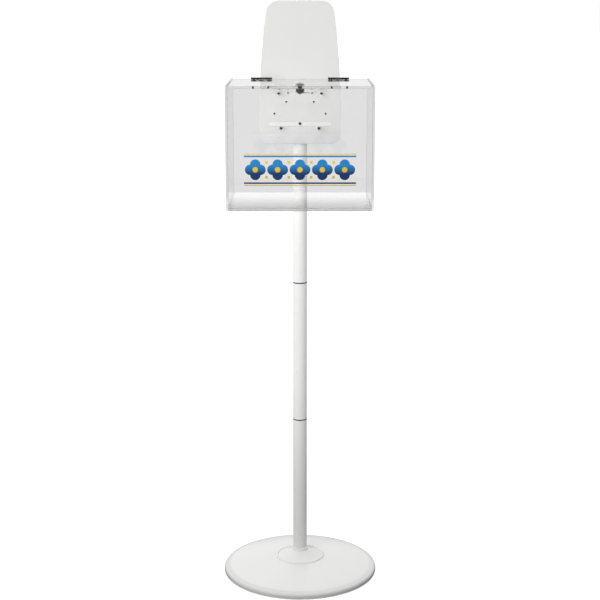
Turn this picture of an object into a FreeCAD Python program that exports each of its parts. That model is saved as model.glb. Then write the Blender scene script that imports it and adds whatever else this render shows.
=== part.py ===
import FreeCAD, Part
import os
import re
import Sketcher

# A clear acrylic donation box on a white floor stand, in millimetres.
# The origin is on the floor under the axis of the pole, +Z is up and the front of the box faces -Y.

# Driving sizes: a name, a number, and what it measures
DRIVING = [
    # Base
    ("base_diameter", 355.0, "outside of the base cover"),
    ("base_sheet", 1.5, "steel sheet of the base cover"),
    ("skirt_lift", 1.0, "gap between the cover's edge and the floor"),
    ("rim_height", 11.0, "height where the skirt meets the dome"),
    ("rim_round", 6.0, "rounding of the rim"),
    ("dome_radius", 600.0, "curve of the dome, seen from the side"),
    ("land_diameter", 120.0, "flat land in the middle of the cover"),
    ("land_height", 33.0, "top of that land above the floor"),
    ("pad_inset", 10.0, "between the inside of the cover and the rubber mat"),
    ("pad_thickness", 2.0, "rubber mat"),
    ("weight_inset", 13.0, "between the inside of the cover and the cast iron weight"),
    ("weight_edge", 6.0, "height of the weight at its edge"),
    ("weight_boss", 90.0, "raised middle of the weight, which carries the cover"),
    ("boss_height", 5.0, "how far that middle stands above the slope"),
    ("recess_diameter", 36.0, "recess for the head of the base bolt"),
    ("recess_depth", 13.0, "depth of that recess"),
    ("bolt_diameter", 12.0, "base bolt and the studs of the pole"),
    ("bolt_clearance", 1.0, "how much wider the bolt's holes are"),
    ("bolt_head_width", 19.0, "across the flats"),
    ("bolt_head_height", 7.5, "head of the base bolt"),
    ("bolt_grip", 17.0, "bolt's length inside the foot insert"),
    ("bolt_washer_diameter", 30.0, "washer under the base bolt"),
    ("bolt_washer_thickness", 2.5, "washer under the base bolt"),
    ("collar_diameter", 110.6, "dished collar on the base"),
    ("collar_edge", 1.9, "height of the collar's edge below its bead"),
    ("bead_width", 4.8, "rolled bead around the collar"),
    ("bead_radius", 2.6, "curve of the bead"),
    ("foot_height", 49.0, "top of the collar, where the pole stands"),
    ("foot_seat", 41.0, "flat top of the collar"),
    ("foot_ring_diameter", 36.5, "ring around the foot of the pole"),
    ("foot_ring_height", 6.0, "ring around the foot of the pole"),
    ("foot_ring_bevel", 1.2, "bevel on that ring"),
    # Pole
    ("pole_diameter", 31.8, "outside of the tubes"),
    ("pole_wall", 1.5, "wall of the tubes"),
    ("section_length", 319.0, "lower and middle tube"),
    ("joint_height", 2.5, "black ring between two tubes"),
    ("joint_diameter", 32.4, "black ring between two tubes"),
    ("insert_length", 22.0, "threaded plug in a tube's end"),
    ("insert_clearance", 0.05, "between a tube and what is pressed into or onto it"),
    ("stud_length", 38.0, "stud that joins two tubes"),
    ("thread_clearance", 0.05, "between a stud or bolt and its thread"),
    ("pole_reach", 132.0, "how far the pole runs up behind the plate"),
    ("cap_height", 5.0, "cap on the pole"),
    ("cap_rim", 2.0, "straight rim of the cap"),
    ("cap_plug", 12.0, "length of the cap inside the tube"),
    # Back plate
    ("plate_width", 176.0, "widest part of the plate"),
    ("plate_height", 307.0, "bottom to top"),
    ("plate_thickness", 3.0, "steel plate"),
    ("plate_drop", 136.5, "plate's bottom edge below the top of the front wall"),
    ("plate_straight", 79.0, "straight part of the sides"),
    ("plate_side_radius", 1390.0, "curve of the sides above that"),
    ("plate_top_round", 28.0, "upper corners"),
    ("plate_bottom_round", 20.0, "lower corners"),
    ("plate_edge_round", 0.8, "edges of the plate"),
    ("saddle_gap", 2.1, "least gap between pole and plate"),
    ("saddle_width", 20.0, "saddle between pole and plate"),
    ("saddle_height", 18.0, "saddle between pole and plate"),
    ("saddle_depth", 8.0, "saddle between pole and plate"),
    ("lower_bolt", 44.0, "lower plate screw above the plate's bottom edge"),
    ("upper_bolt", 111.0, "upper plate screw above the plate's bottom edge"),
    ("spare_upper", 111.0, "first row of spare inserts above the plate's bottom edge"),
    ("spare_upper_spread", 52.0, "first row, centre to centre"),
    ("spare_middle", 91.5, "second row of spare inserts"),
    ("spare_middle_spread", 60.0, "second row, centre to centre"),
    ("spare_lower", 66.0, "third row of spare inserts"),
    ("spare_lower_spread", 111.5, "third row, centre to centre"),
    ("spare_diameter", 6.0, "body of a spare insert"),
    ("spare_length", 12.0, "body of a spare insert"),
    ("spare_flange", 7.6, "flange of a spare insert"),
    ("spare_flange_height", 0.8, "flange of a spare insert"),
    ("spare_bore", 4.2, "blind thread of a spare insert"),
    ("spare_bore_depth", 9.0, "blind thread of a spare insert"),
    # Screws through the plate
    ("screw_diameter", 4.0, "screws through the plate"),
    ("screw_clearance", 0.5, "how much wider their holes are"),
    ("screw_head", 6.2, "head diameter"),
    ("screw_head_height", 2.6, "head height"),
    ("screw_socket", 2.5, "hexagon socket, across the flats"),
    ("screw_socket_depth", 1.5, "hexagon socket"),
    ("screw_spare", 1.5, "thread that shows behind a nut"),
    ("nut_width", 7.0, "across the flats"),
    ("nut_height", 3.2, "nuts behind the plate and the pole"),
    # Box
    ("box_bottom", 896.0, "underside of the box above the floor"),
    ("box_width", 300.0, "outside width"),
    ("box_depth", 246.0, "outside depth"),
    ("panel_height", 245.5, "front wall, which carries the lid"),
    ("side_rise", 6.5, "how far the side walls stand above the front wall"),
    ("wall", 5.0, "acrylic sheet of the walls and the floor"),
    ("slot_width", 124.0, "money slot"),
    ("slot_height", 9.0, "money slot"),
    ("slot_drop", 69.8, "middle of the slot below the top of the front wall"),
    ("spacer_length", 13.0, "gap between plate and box"),
    ("spacer_diameter", 12.0, "spacers in that gap"),
    ("mount_upper_drop", 25.5, "upper box screws below the top of the front wall"),
    ("mount_upper_spread", 92.4, "upper box screws, centre to centre"),
    ("mount_lower_drop", 101.0, "lower box screws below the top of the front wall"),
    ("mount_lower_spread", 82.4, "lower box screws, centre to centre"),
    ("mount_washer", 9.0, "washers inside the box"),
    ("mount_washer_height", 1.0, "washers inside the box"),
    # Lid and hinges
    ("lid_thickness", 5.0, "acrylic sheet of the lid"),
    ("lid_gap", 0.3, "between the lid and the front wall under it"),
    ("lid_side_gap", 0.5, "between the lid and a side wall"),
    ("lid_back_gap", 0.6, "between the lid and the strip behind it"),
    ("strip_depth", 26.0, "fixed strip of the top, behind the lid"),
    ("hinge_centre", 165.0, "the two hinges, centre to centre"),
    ("hinge_length", 42.0, "five knuckles"),
    ("knuckle_diameter", 4.4, "barrel of a hinge"),
    ("knuckle_gap", 0.3, "between two knuckles, and between a knuckle and the other leaf"),
    ("knuckle_rise", 0.2, "how far the barrel stands above the lid"),
    ("leaf_thickness", 1.5, "leaves of a hinge"),
    ("leaf_run", 15.0, "far edge of a leaf, from the axis of the hinge"),
    ("pin_diameter", 3.0, "hinge pin"),
    ("pin_fit", 0.02, "between the pin and the back knuckles"),
    ("pin_running_fit", 0.06, "between the pin and the lid knuckles"),
    ("pin_head", 4.4, "head at each end of a pin"),
    ("pin_head_length", 1.5, "head at each end of a pin"),
    ("hinge_screw_setback", 9.3, "screws of a lid leaf, from the axis of the hinge"),
    ("hinge_screw_spread", 32.0, "two screws of a hinge, centre to centre"),
    ("hinge_screw_diameter", 4.0, "hinge screws"),
    ("hinge_screw_clearance", 0.3, "how much wider their holes are"),
    ("hinge_screw_head", 7.6, "head diameter"),
    ("hinge_screw_head_height", 2.2, "head height"),
    ("hinge_screw_socket", 2.5, "hexagon socket, across the flats"),
    ("hinge_screw_socket_depth", 1.2, "hexagon socket"),
    ("hinge_screw_spare", 0.8, "thread that shows below a nut"),
    ("hinge_nut_width", 7.0, "across the flats"),
    ("hinge_nut_height", 3.0, "nuts under the lid"),
    # Lock
    ("lock_setback", 27.0, "axis of the lock behind the front of the box"),
    ("lock_head", 18.6, "head on the lid"),
    ("lock_head_height", 4.7, "head on the lid"),
    ("lock_head_bevel", 1.2, "bevel of the head"),
    ("lock_barrel", 13.4, "barrel through the lid"),
    ("lock_hole_clearance", 0.4, "how much wider the lid's hole is"),
    ("lock_nut_width", 16.6, "across the flats"),
    ("lock_nut_height", 7.5, "nut under the lid"),
    ("plug_diameter", 9.0, "plug that the key turns"),
    ("plug_running_fit", 0.05, "between plug and barrel"),
    ("plug_recess", 0.4, "plug's face below the face of the head"),
    ("key_width", 1.6, "keyhole"),
    ("key_height", 6.4, "keyhole"),
    ("key_depth", 7.0, "keyhole"),
    ("tang_width", 5.6, "square end of the plug that carries the cam"),
    ("tang_fit", 0.05, "between that square and the cam"),
    ("cam_thickness", 2.0, "cam"),
    ("cam_width", 11.0, "cam"),
    ("cam_hub", 13.0, "round end of the cam"),
    ("cam_reach", 20.5, "tip of the cam from the axis of the lock"),
    ("cam_clearance", 0.4, "between the cam and the catch above it"),
    ("cam_gap", 0.2, "between the cam and the barrel"),
    ("cam_screw_head", 8.0, "screw under the cam"),
    ("cam_screw_head_height", 2.0, "screw under the cam"),
    ("cam_screw_diameter", 3.5, "screw under the cam"),
    ("cam_screw_length", 8.0, "screw under the cam"),
    ("catch_length", 110.0, "clear bar inside the front that the cam turns under"),
    ("catch_depth", 7.0, "catch bar"),
    ("catch_height", 7.5, "catch bar"),
]

# Places that follow from the driving sizes
FOLLOWING = [
    ("cover_radius", "base_diameter / 2", "outside of the cover"),
    ("cover_inside", "base_diameter - 2 * base_sheet", "inside of the cover"),
    ("pad_diameter", "cover_inside - 2 * pad_inset", "rubber mat"),
    ("weight_diameter", "cover_inside - 2 * weight_inset", "cast iron weight"),
    ("land_radius", "land_diameter / 2", "edge of the land"),
    ("land_under", "land_height - base_sheet", "underside of the land"),
    ("bolt_hole", "bolt_diameter + bolt_clearance", "holes for the base bolt and the studs"),
    ("recess_top", "pad_thickness + recess_depth", "top of the bolt's recess"),
    ("collar_radius", "collar_diameter / 2", "edge of the collar"),
    ("bead_foot", "land_height + collar_edge", "where the bead starts"),
    ("pole_radius", "pole_diameter / 2", "outside of the tubes"),
    ("pole_bore", "pole_diameter - 2 * pole_wall", "inside of the tubes"),
    ("insert_diameter", "pole_bore - 2 * insert_clearance", "plugs in the tubes"),
    ("thread_hole", "bolt_diameter + 2 * thread_clearance", "threads, drawn as plain holes"),
    ("lower_joint", "foot_height + section_length", "underside of the lower ring"),
    ("middle_start", "lower_joint + joint_height", "lower end of the middle tube"),
    ("upper_joint", "middle_start + section_length", "underside of the upper ring"),
    ("upper_start", "upper_joint + joint_height", "lower end of the upper tube"),
    ("panel_top", "box_bottom + panel_height", "top of the front wall"),
    ("plate_bottom", "panel_top - plate_drop", "lower edge of the plate"),
    ("plate_top", "plate_bottom + plate_height", "upper edge of the plate"),
    ("plate_bend", "plate_bottom + plate_straight", "where the sides start to curve in"),
    ("plate_arc_rise", "plate_top - plate_bend", "height of the curved sides"),
    ("plate_arc_inset", "plate_side_radius - sqrt(plate_side_radius ^ 2 - plate_arc_rise ^ 2)", "curve"),
    ("plate_top_half", "plate_width / 2 - plate_arc_inset", "half the width at the top"),
    ("pole_top", "plate_bottom + pole_reach", "upper end of the upper tube"),
    ("saddle_back", "pole_radius + saddle_gap", "outer face of a saddle, from the axis"),
    ("plate_front", "0 - saddle_back - plate_thickness", "front face of the plate"),
    ("cap_dome", "cap_height - cap_rim", "rise of the cap's top"),
    ("cap_crown", "(pole_radius ^ 2 + cap_dome ^ 2) / (2 * cap_dome)", "curve of the cap's top"),
    ("box_back_face", "plate_front - spacer_length", "back face of the box"),
    ("box_front_face", "box_back_face - box_depth", "front face of the box"),
    ("inner_width", "box_width - 2 * wall", "inside width"),
    ("inner_depth", "box_depth - 2 * wall", "inside depth"),
    ("back_inside", "box_back_face - wall", "inner face of the back wall"),
    ("screw_hole", "screw_diameter + screw_clearance", "holes for the screws"),
    ("screw_thread", "screw_diameter + 2 * thread_clearance", "threads of the nuts"),
    ("lid_underside", "panel_top + lid_gap", "underside of the closed lid, and top of the back wall"),
    ("lid_top", "lid_underside + lid_thickness", "top of the closed lid and of the strip behind it"),
    ("strip_front", "box_back_face - strip_depth", "front edge of the strip"),
    ("knuckle_radius", "knuckle_diameter / 2", "barrel of a hinge"),
    ("knuckle_pitch", "hinge_length / 5", "from one knuckle to the next"),
    ("knuckle_length", "knuckle_pitch - knuckle_gap", "one knuckle"),
    ("pin_height", "lid_top + knuckle_rise + knuckle_radius", "axis of the hinges"),
    ("pin_depth", "strip_front - lid_back_gap / 2", "axis of the hinges, over the gap behind the lid"),
    ("leaf_start", "knuckle_radius + knuckle_gap", "near edge of a leaf, from the axis of the hinge"),
    ("hinge_screw_depth", "pin_depth - hinge_screw_setback", "hinge screws"),
    ("hinge_screw_hole", "hinge_screw_diameter + hinge_screw_clearance", "holes for the hinge screws"),
    ("hinge_screw_thread", "hinge_screw_diameter + 2 * thread_clearance", "threads of the hinge nuts"),
    ("lock_axis", "box_front_face + lock_setback", "axis of the lock"),
    ("lock_face", "lid_top + lock_head_height", "face of the lock's head"),
    ("cam_top", "panel_top - catch_height - cam_clearance", "top of the cam"),
    ("cam_under", "cam_top - cam_thickness", "underside of the cam"),
    ("barrel_end", "cam_top + cam_gap", "lower end of the barrel"),
    ("plug_hole", "plug_diameter + 2 * plug_running_fit", "bore of the barrel"),
]

doc = FreeCAD.newDocument("DonationBox")
sheet = doc.addObject("Spreadsheet::Sheet", "Sizes")
rows = [(name, str(value), note) for name, value, note in DRIVING]
rows += [(name, "=" + text, note) for name, text, note in FOLLOWING]
NAMES = {name for name, text, note in rows}
for line, (name, text, note) in enumerate(rows, 1):
    sheet.set(f"A{line}", name)
    sheet.set(f"B{line}", text)
    sheet.set(f"C{line}", note)
    sheet.setAlias(f"B{line}", name)
doc.recompute()

nodes = {}
FULL_TURN = 360
TOUCH = 0.001
TURNS = {
    "X": FreeCAD.Rotation(FreeCAD.Vector(0, 1, 0), 90),
    "Y": FreeCAD.Rotation(FreeCAD.Vector(1, 0, 0), -90),
    "Z": FreeCAD.Rotation(),
}


def formula(text):
    """The formula with each of its sizes read from the sheet."""
    return re.sub("[a-z_]+", lambda word: "Sizes." + word[0] if word[0] in NAMES else word[0], text)


def number(text):
    """What a formula comes to now."""
    return float(sheet.evalExpression(formula(text)))


def keep(label, piece):
    """Names a finished sub-part."""
    piece.Label = label
    nodes[label] = piece
    return piece


def place(piece, at, along="Z"):
    """Puts a piece at three formulas, with its own Z axis turned along one of the main axes."""
    piece.Placement = FreeCAD.Placement(FreeCAD.Vector(), TURNS[along])
    for axis, text in zip("xyz", at):
        piece.setExpression("Placement.Base." + axis, formula(text))
    return piece


def primitive(kind, name, at, along, sizes):
    """A Part primitive whose sizes and place follow the sheet."""
    piece = place(doc.addObject("Part::" + kind, name), at, along)
    for prop, text in sizes.items():
        piece.setExpression(prop, formula(text))
    return piece


def block(name, at, size):
    """A box, from its lowest corner."""
    return primitive("Box", name, at, "Z", dict(zip(("Length", "Width", "Height"), size)))


def rod(name, at, diameter, length, along="Z"):
    """A cylinder, from the middle of its first end."""
    return primitive("Cylinder", name, at, along, {"Radius": f"({diameter}) / 2", "Height": length})


def hexagon(name, at, width, length, along="Z"):
    """A hexagonal bar, measured across its flats."""
    return primitive("Prism", name, at, along, {"Circumradius": f"({width}) / sqrt(3)", "Height": length})


def fuse(name, pieces):
    """Several pieces made one."""
    whole = doc.addObject("Part::MultiFuse", name)
    whole.Shapes = pieces
    return whole


def cut(name, base, tools):
    """A piece with one or more tools taken out of it."""
    piece = doc.addObject("Part::Cut", name)
    piece.Base = base
    piece.Tool = tools[0] if len(tools) == 1 else fuse(name + "_tools", tools)
    return piece


def group(name, pieces):
    """Separate pieces that share one node."""
    together = doc.addObject("Part::Compound", name)
    together.Links = pieces
    return together


def sketch_on(body, name, role):
    """An empty sketch on one of the body's own planes."""
    sketch = body.newObject("Sketcher::SketchObject", name)
    plane = next(item for item in body.Origin.OriginFeatures if item.Role == role)
    sketch.AttachmentSupport = (plane, [""])
    sketch.MapMode = "FlatFace"
    return sketch


def rule(sketch, kind, places, text):
    """A dimension of a sketch that follows a formula."""
    index = sketch.addConstraint(Sketcher.Constraint(kind, *places, number(text)))
    sketch.setExpression(f"Constraints[{index}]", formula(text))


def pin_point(sketch, edge, end, x, y):
    """Holds one end of an edge at two formulas."""
    rule(sketch, "DistanceX", (-1, 1, edge, end), x)
    rule(sketch, "DistanceY", (-1, 1, edge, end), y)


def arc_between(start, finish, radius):
    """The shallow arc between two points, counterclockwise."""
    chord = finish - start
    sagitta = radius - (radius**2 - chord.Length**2 / 4) ** 0.5
    outward = FreeCAD.Vector(chord.y, -chord.x, 0).normalize()
    return Part.Arc(start, (start + finish) / 2 + outward * sagitta, finish)


def outline(body, name, role, corners):
    """A closed outline, counterclockwise. A third value on a corner makes the side that leaves it an arc of
    that radius, which bulges out of the outline, or into it after a minus sign."""
    sketch = sketch_on(body, name, role)
    points = [FreeCAD.Vector(number(corner[0]), number(corner[1]), 0) for corner in corners]
    ends = []
    for index, corner in enumerate(corners):
        start = points[index]
        finish = points[(index + 1) % len(points)]
        radius = corner[2] if len(corner) > 2 else None
        if radius is None:
            sketch.addGeometry(Part.LineSegment(start, finish))
        elif radius.startswith("-"):
            sketch.addGeometry(arc_between(finish, start, number(radius[1:])))
            rule(sketch, "Radius", (index,), radius[1:])
        else:
            sketch.addGeometry(arc_between(start, finish, number(radius)))
            rule(sketch, "Radius", (index,), radius)
        inward = radius is not None and radius.startswith("-")
        ends.append((2, 1) if inward else (1, 2))
    for index, corner in enumerate(corners):
        after = (index + 1) % len(corners)
        sketch.addConstraint(Sketcher.Constraint("Coincident", index, ends[index][1], after, ends[after][0]))
        pin_point(sketch, index, ends[index][0], corner[0], corner[1])
    return sketch


def padded(name, role, corners, thickness, at):
    """A flat body: an outline padded by its thickness, towards -Y on the XZ plane and up on the XY plane."""
    body = place(doc.addObject("PartDesign::Body", name), at)
    profile = outline(body, name + "_outline", role, corners)
    pad = body.newObject("PartDesign::Pad", name + "_pad")
    pad.Profile = profile
    pad.setExpression("Length", formula(thickness))
    doc.recompute()
    return body


def turned(name, corners, at=("0", "0", "0"), along="Z"):
    """A body turned about its own Z axis from half of its outline: distance from the axis, and height."""
    body = place(doc.addObject("PartDesign::Body", name), at, along)
    profile = outline(body, name + "_half", "XZ_Plane", corners)
    turn = body.newObject("PartDesign::Revolution", name + "_turn")
    turn.Profile = profile
    turn.ReferenceAxis = (profile, ["V_Axis"])
    turn.Angle = FULL_TURN
    doc.recompute()
    return body


def pocket(body, profile):
    """Cuts a sketch right through a padded body, which has to lose volume."""
    before = body.Shape.Volume
    hole = body.newObject("PartDesign::Pocket", profile.Name + "_cut")
    hole.Profile = profile
    hole.Type = "ThroughAll"
    hole.Reversed = True
    doc.recompute()
    if body.Shape.Volume >= before:
        raise RuntimeError(f"{hole.Name} cut nothing")


def drill(body, name, role, holes):
    """Round holes through a padded body, each given by x, y and its diameter."""
    sketch = sketch_on(body, name, role)
    for index, (x, y, diameter) in enumerate(holes):
        centre = FreeCAD.Vector(number(x), number(y), 0)
        sketch.addGeometry(Part.Circle(centre, FreeCAD.Vector(0, 0, 1), number(diameter) / 2))
        pin_point(sketch, index, 3, x, y)
        rule(sketch, "Diameter", (index,), diameter)
    pocket(body, sketch)


def round_edges(body, name, radius, chosen):
    """Rounds the edges of a body that the test picks."""
    tip = body.Tip
    picked = [f"Edge{index}" for index, edge in enumerate(tip.Shape.Edges, 1) if chosen(edge)]
    fillet = body.newObject("PartDesign::Fillet", name)
    fillet.Base = (tip, picked)
    fillet.setExpression("Radius", formula(radius))
    doc.recompute()


def is_circle(edge, radius, height):
    """Whether an edge is the level circle of that radius and height."""
    box = edge.BoundBox
    level = abs(box.ZMin - height) < TOUCH and abs(box.ZMax - height) < TOUCH
    return level and abs(box.XMax - radius) < TOUCH


def is_corner(edge, x, z):
    """Whether an edge runs from front to back at that distance from the middle and that height."""
    box = edge.BoundBox
    straight = box.XLength < TOUCH and box.ZLength < TOUCH
    return straight and abs(abs(box.XMin) - x) < TOUCH and abs(box.ZMin - z) < TOUCH


def is_plate_edge(edge):
    """Whether an edge is part of the plate's outline, and not of one of its holes."""
    box = edge.BoundBox
    return box.YLength < TOUCH and max(box.XLength, box.ZLength) > 2 * number("spare_flange")


def rectangle(left, right, low, high):
    """Corners of a rectangle."""
    return [(left, low), (right, low), (right, high), (left, high)]


# Sizes of a screw: shank, head, head height, socket and its depth, and of a nut: width, height and thread
PLATE_SCREW = ("screw_diameter", "screw_head", "screw_head_height", "screw_socket", "screw_socket_depth")
PLATE_NUT = ("nut_width", "nut_height", "screw_thread")
HINGE_SCREW = tuple("hinge_" + size for size in PLATE_SCREW)
HINGE_NUT = tuple("hinge_" + size for size in PLATE_NUT)


def screw(name, at, length, shank, head, head_height, socket, socket_depth, along="Y"):
    """A screw with a flat head, from the middle of the head's underside. Along Y it points to the back, and
    along Z down."""
    x, y, z = at
    shank_at, head_at = at, (x, f"{y} - ({head_height})", z)
    socket_at = head_at
    if along == "Z":
        shank_at, head_at = (x, y, f"{z} - ({length})"), at
        socket_at = (x, y, f"{z} + {head_height} - {socket_depth}")
    whole = fuse(name + "_blank", [
        rod(name + "_shank", shank_at, shank, length, along),
        rod(name + "_head", head_at, head, head_height, along),
    ])
    return cut(name, whole, [hexagon(name + "_socket", socket_at, socket, socket_depth, along)])


def nut(name, at, width, height, bore, along):
    """A hexagon nut, from the middle of its first face."""
    return cut(name, hexagon(name + "_hexagon", at, width, height, along), [
        rod(name + "_thread", at, bore, height, along),
    ])


def ring(name, at, diameter, bore, height, along="Z"):
    """A plain ring or tube, from the middle of its first face."""
    return cut(name, rod(name + "_outside", at, diameter, height, along), [
        rod(name + "_bore", at, bore, height, along),
    ])


def make_base():
    """A rubber mat, an iron weight, the pressed cover over it, and the collar that carries the pole."""
    keep("base_pad", rod("base_pad", ("0", "0", "0"), "pad_diameter", "pad_thickness"))
    keep("base_weight", turned("base_weight", [
        ("recess_diameter / 2", "pad_thickness"),
        ("weight_diameter / 2", "pad_thickness"),
        ("weight_diameter / 2", "pad_thickness + weight_edge"),
        ("land_radius", "land_under - boss_height"),
        ("weight_boss / 2", "land_under - boss_height"),
        ("weight_boss / 2", "land_under"),
        ("bolt_hole / 2", "land_under"),
        ("bolt_hole / 2", "recess_top"),
        ("recess_diameter / 2", "recess_top"),
    ]))
    cover = turned("base_cover", [
        ("cover_radius - base_sheet", "skirt_lift"),
        ("cover_radius", "skirt_lift"),
        ("cover_radius", "rim_height", "dome_radius"),
        ("land_radius", "land_height"),
        ("bolt_hole / 2", "land_height"),
        ("bolt_hole / 2", "land_under"),
        ("land_radius", "land_under", "-dome_radius - base_sheet"),
        ("cover_radius - base_sheet", "rim_height - base_sheet"),
    ])
    outer = number("cover_radius"), number("rim_height")
    inner = number("cover_radius - base_sheet"), number("rim_height - base_sheet")
    round_edges(cover, "rim", "rim_round", lambda edge: is_circle(edge, *outer))
    round_edges(cover, "rim_inside", "rim_round - base_sheet", lambda edge: is_circle(edge, *inner))
    keep("base_cover", cover)
    keep("base_collar", turned("base_collar", [
        ("bolt_hole / 2", "land_height"),
        ("collar_radius", "land_height"),
        ("collar_radius", "bead_foot", "bead_radius"),
        ("collar_radius - bead_width", "bead_foot"),
        ("foot_seat / 2", "foot_height"),
        ("bolt_hole / 2", "foot_height"),
    ]))
    keep("foot_ring", turned("foot_ring", [
        ("pole_radius + insert_clearance", "foot_height"),
        ("foot_ring_diameter / 2", "foot_height"),
        ("foot_ring_diameter / 2", "foot_height + foot_ring_height - foot_ring_bevel"),
        ("foot_ring_diameter / 2 - foot_ring_bevel", "foot_height + foot_ring_height"),
        ("pole_radius + insert_clearance", "foot_height + foot_ring_height"),
    ]))
    seat = "recess_top - bolt_washer_thickness"
    keep("base_washer", ring("base_washer", ("0", "0", seat), "bolt_washer_diameter", "bolt_hole",
                             "bolt_washer_thickness"))
    keep("base_bolt", fuse("base_bolt", [
        hexagon("bolt_head", ("0", "0", seat + " - bolt_head_height"), "bolt_head_width", "bolt_head_height"),
        rod("bolt_shank", ("0", "0", seat), "bolt_diameter", f"foot_height + bolt_grip - ({seat})"),
    ]))


def make_pole():
    """Three tubes with threaded plugs in their ends, joined by studs with a black ring at each joint."""
    for name, start in (("lower_pole", "foot_height"), ("middle_pole", "middle_start")):
        keep(name, ring(name, ("0", "0", start), "pole_diameter", "pole_bore", "section_length"))
    length = "pole_top - upper_start"
    tube = rod("upper_pole_outside", ("0", "0", "upper_start"), "pole_diameter", length)
    tools = [rod("upper_pole_bore", ("0", "0", "upper_start"), "pole_bore", length)]
    for name in ("lower_bolt", "upper_bolt"):
        at = ("0", "0 - pole_diameter", f"plate_bottom + {name}")
        tools.append(rod(name + "_pole_hole", at, "screw_hole", "2 * pole_diameter", "Y"))
    keep("upper_pole", cut("upper_pole", tube, tools))
    studs = []
    for joint in ("lower_joint", "upper_joint"):
        name = joint + "_ring"
        keep(name, ring(name, ("0", "0", joint), "joint_diameter", "bolt_hole", "joint_height"))
        start = f"{joint} + joint_height / 2 - stud_length / 2"
        studs.append(rod(joint + "_stud", ("0", "0", start), "bolt_diameter", "stud_length"))
    keep("pole_studs", group("pole_studs", studs))
    starts = {
        "foot_insert": "foot_height",
        "lower_insert": "lower_joint - insert_length",
        "middle_foot_insert": "middle_start",
        "middle_insert": "upper_joint - insert_length",
        "upper_foot_insert": "upper_start",
    }
    keep("pole_inserts", group("pole_inserts", [
        ring(name, ("0", "0", start), "insert_diameter", "thread_hole", "insert_length")
        for name, start in starts.items()
    ]))
    keep("pole_cap", turned("pole_cap", [
        ("0", "pole_top - cap_plug"),
        ("insert_diameter / 2", "pole_top - cap_plug"),
        ("insert_diameter / 2", "pole_top"),
        ("pole_radius", "pole_top"),
        ("pole_radius", "pole_top + cap_rim", "cap_crown"),
        ("0", "pole_top + cap_height"),
    ]))


def mount_places():
    """The four screws that hold the box to the plate: a name, x and height."""
    for row in ("upper", "lower"):
        for side, sign in (("left", "-"), ("right", "")):
            yield f"mount_{row}_{side}", f"{sign}mount_{row}_spread / 2", f"panel_top - mount_{row}_drop"


def spare_places():
    """The six spare inserts of the plate: a name, x and height."""
    for row in ("upper", "middle", "lower"):
        for side, sign in (("left", "-"), ("right", "")):
            yield f"spare_{row}_{side}", f"{sign}spare_{row}_spread / 2", f"plate_bottom + spare_{row}"


def plate_screw_heights():
    """The two screws that hold the plate to the pole: a name and a height."""
    for row in ("lower", "upper"):
        yield f"plate_{row}", f"plate_bottom + {row}_bolt"


def make_plate():
    """The tall plate behind the box, its spare inserts, and what holds it to the pole."""
    plate = padded("back_plate", "XZ_Plane", [
        ("-plate_width / 2", "plate_bottom"),
        ("plate_width / 2", "plate_bottom"),
        ("plate_width / 2", "plate_bend", "plate_side_radius"),
        ("plate_top_half", "plate_top"),
        ("-plate_top_half", "plate_top", "plate_side_radius"),
        ("-plate_width / 2", "plate_bend"),
    ], "plate_thickness", ("0", "0 - saddle_back", "0"))
    holes = [("0", height, "screw_hole") for name, height in plate_screw_heights()]
    holes += [(x, height, "screw_hole") for name, x, height in mount_places()]
    holes += [(x, height, "spare_diameter + 2 * insert_clearance") for name, x, height in spare_places()]
    drill(plate, "plate_holes", "XZ_Plane", holes)
    upper = number("plate_top_half"), number("plate_top")
    lower = number("plate_width / 2"), number("plate_bottom")
    round_edges(plate, "upper_corners", "plate_top_round", lambda edge: is_corner(edge, *upper))
    round_edges(plate, "lower_corners", "plate_bottom_round", lambda edge: is_corner(edge, *lower))
    round_edges(plate, "plate_edges", "plate_edge_round", is_plate_edge)
    keep("back_plate", plate)
    inserts = []
    for name, x, height in spare_places():
        face = "plate_front - spare_flange_height"
        blank = fuse(name + "_blank", [
            rod(name + "_flange", (x, face, height), "spare_flange", "spare_flange_height", "Y"),
            rod(name + "_body", (x, "plate_front", height), "spare_diameter", "spare_length", "Y"),
        ])
        bore = rod(name + "_bore", (x, face, height), "spare_bore", "spare_bore_depth", "Y")
        inserts.append(cut(name, blank, [bore]))
    keep("plate_inserts", group("plate_inserts", inserts))
    cradle = "pole_diameter + 2 * insert_clearance"
    length = "saddle_back + nut_height + screw_spare - plate_front"
    saddles, screws, nuts = [], [], []
    for name, height in plate_screw_heights():
        low = f"{height} - saddle_height / 2"
        for end, start in (("front", "0 - saddle_back"), ("rear", "saddle_back - saddle_depth")):
            at = ("0 - saddle_width / 2", start, low)
            saddle = block(f"{name}_{end}_blank", at, ("saddle_width", "saddle_depth", "saddle_height"))
            saddles.append(cut(f"{name}_{end}_saddle", saddle, [
                rod(f"{name}_{end}_cradle", ("0", "0", low), cradle, "saddle_height"),
                rod(f"{name}_{end}_hole", ("0", start, height), "screw_hole", "saddle_depth", "Y"),
            ]))
        screws.append(screw(name + "_screw", ("0", "plate_front", height), length, *PLATE_SCREW))
        nuts.append(nut(name + "_nut", ("0", "saddle_back", height), *PLATE_NUT, "Y"))
    keep("plate_saddles", group("plate_saddles", saddles))
    keep("plate_screws", group("plate_screws", screws))
    keep("plate_nuts", group("plate_nuts", nuts))


def hinges():
    """The two hinges: a name and the x of the middle."""
    return (("left", "-hinge_centre / 2"), ("right", "hinge_centre / 2"))


def hinge_screw_places():
    """The screws of both hinges: a name and x."""
    for side, middle in hinges():
        for end, sign in (("first", "-"), ("second", "+")):
            yield f"{side}_{end}_hinge", f"{middle} {sign} hinge_screw_spread / 2"


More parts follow.
